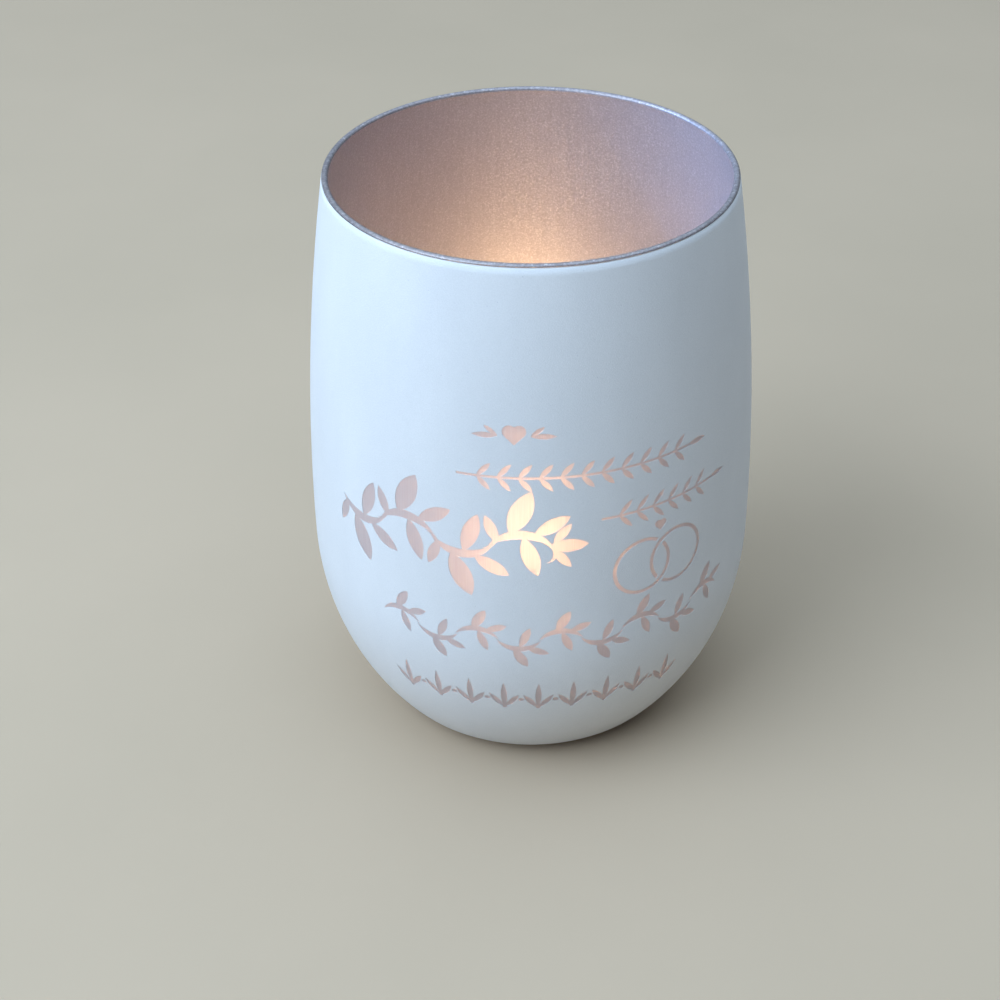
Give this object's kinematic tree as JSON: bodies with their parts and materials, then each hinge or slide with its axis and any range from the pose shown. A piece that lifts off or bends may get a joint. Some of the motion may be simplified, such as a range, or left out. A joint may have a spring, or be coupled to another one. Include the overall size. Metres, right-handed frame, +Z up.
{
  "type": "glass tealight lantern",
  "caption": "Stemless-glass-shaped tealight lantern, matt white outside and satin metal inside, with a leaf motif cut through the lacquer and a lift-out tealight.",
  "frame": {"origin": "centre of the resting ring, on the surface the lantern stands on", "axes": "+Z up along the bowl's axis towards the mouth; -Y is the front, where the motif is cut"},
  "size_m": [0.095, 0.095, 0.125],
  "materials": {
    "clear_glass": "clear, fire-polished, faintly scored by the laser where the motif is cut",
    "white_lacquer": "matt white spray lacquer with a very fine grain",
    "metallic_lining": "satin champagne to rose-gold metallic coat with a fine flake",
    "cup_aluminium": "thin rolled foil, satin",
    "solid_wax": "white paraffin wax, softly translucent",
    "molten_wax": "molten paraffin, wet and glossy",
    "wick_cotton": "braided cotton, charred at the top",
    "tinplate": "thin pressed tinplate"
  },
  "bodies": {
    "lantern": {"glass_bowl": "clear_glass", "outer_coat": "white_lacquer", "inner_coat": "metallic_lining"},
    "tealight": {"tealight_cup": "cup_aluminium", "wax_body": "solid_wax", "melt_pool": "molten_wax", "wick": "wick_cotton", "wick_sustainer": "tinplate"}
  },
  "joints": [
    {"name": "tealight_lift", "type": "slide", "parent": "lantern", "child": "tealight", "axis": [0, 0, 1], "range_m": [0, 0.125]}
  ]
}
